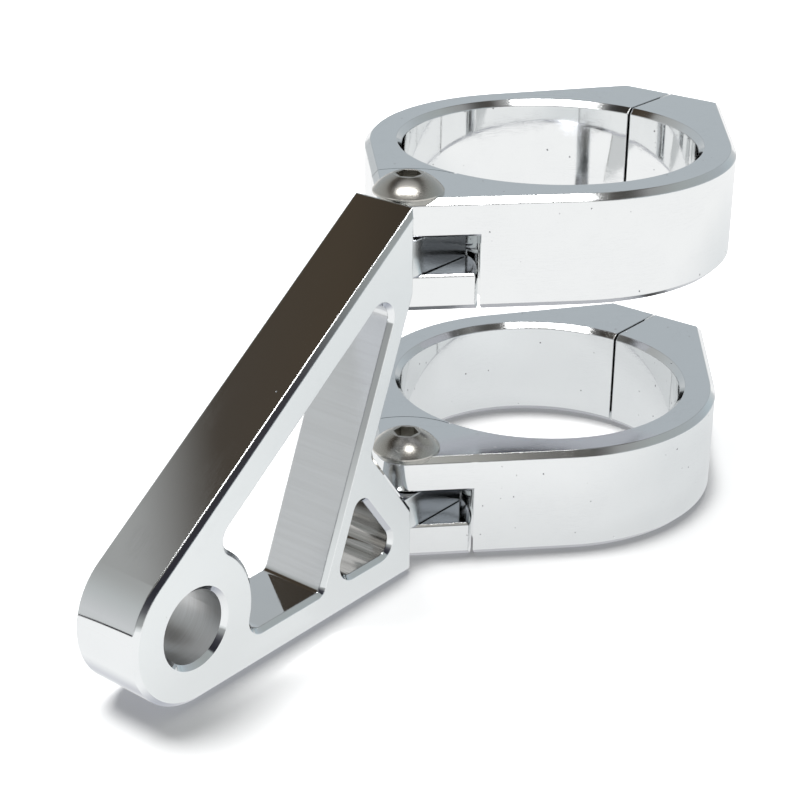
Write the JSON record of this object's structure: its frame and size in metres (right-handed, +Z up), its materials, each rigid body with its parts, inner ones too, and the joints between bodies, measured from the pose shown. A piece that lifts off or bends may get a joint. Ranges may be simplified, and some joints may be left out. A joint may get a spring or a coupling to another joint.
{
  "type": "headlight mounting bracket",
  "caption": "Billet arm with a lamp-bolt eye and triangular windows, hinged on upright pivot screws to split clamps that close round a motorcycle fork tube.",
  "frame": {"origin": "centre of the lower clamp's fork bore, at mid-height of that clamp", "axes": "+Z up along the fork axis, towards the upper clamp; the arm points along -X and the lugs along +X; -Y is the side of the near clamp halves"},
  "size_m": [0.1188, 0.0514, 0.0533],
  "materials": {
    "chrome": "polished chrome over billet aluminium",
    "stainless": "stainless steel, bright rolled"
  },
  "bodies": {
    "arm": {"arm": "chrome"},
    "lower_clamp": {"lower_clamp_front": "chrome", "lower_clamp_rear": "chrome", "lower_pivot_screw": "stainless", "lower_closing_screw": "stainless"},
    "upper_clamp": {"upper_clamp_front": "chrome", "upper_clamp_rear": "chrome", "upper_pivot_screw": "stainless", "upper_closing_screw": "stainless"}
  },
  "joints": [
    {"name": "lower_clamp_swing", "type": "hinge", "parent": "arm", "child": "lower_clamp", "pos_m": [-0.0312, 0, 0], "axis": [0, 0, 1], "range_deg": [-50, 50]},
    {"name": "upper_clamp_swing", "type": "hinge", "parent": "arm", "child": "upper_clamp", "pos_m": [-0.0312, 0, 0.036], "axis": [0, 0, 1], "range_deg": [-50, 50]}
  ]
}
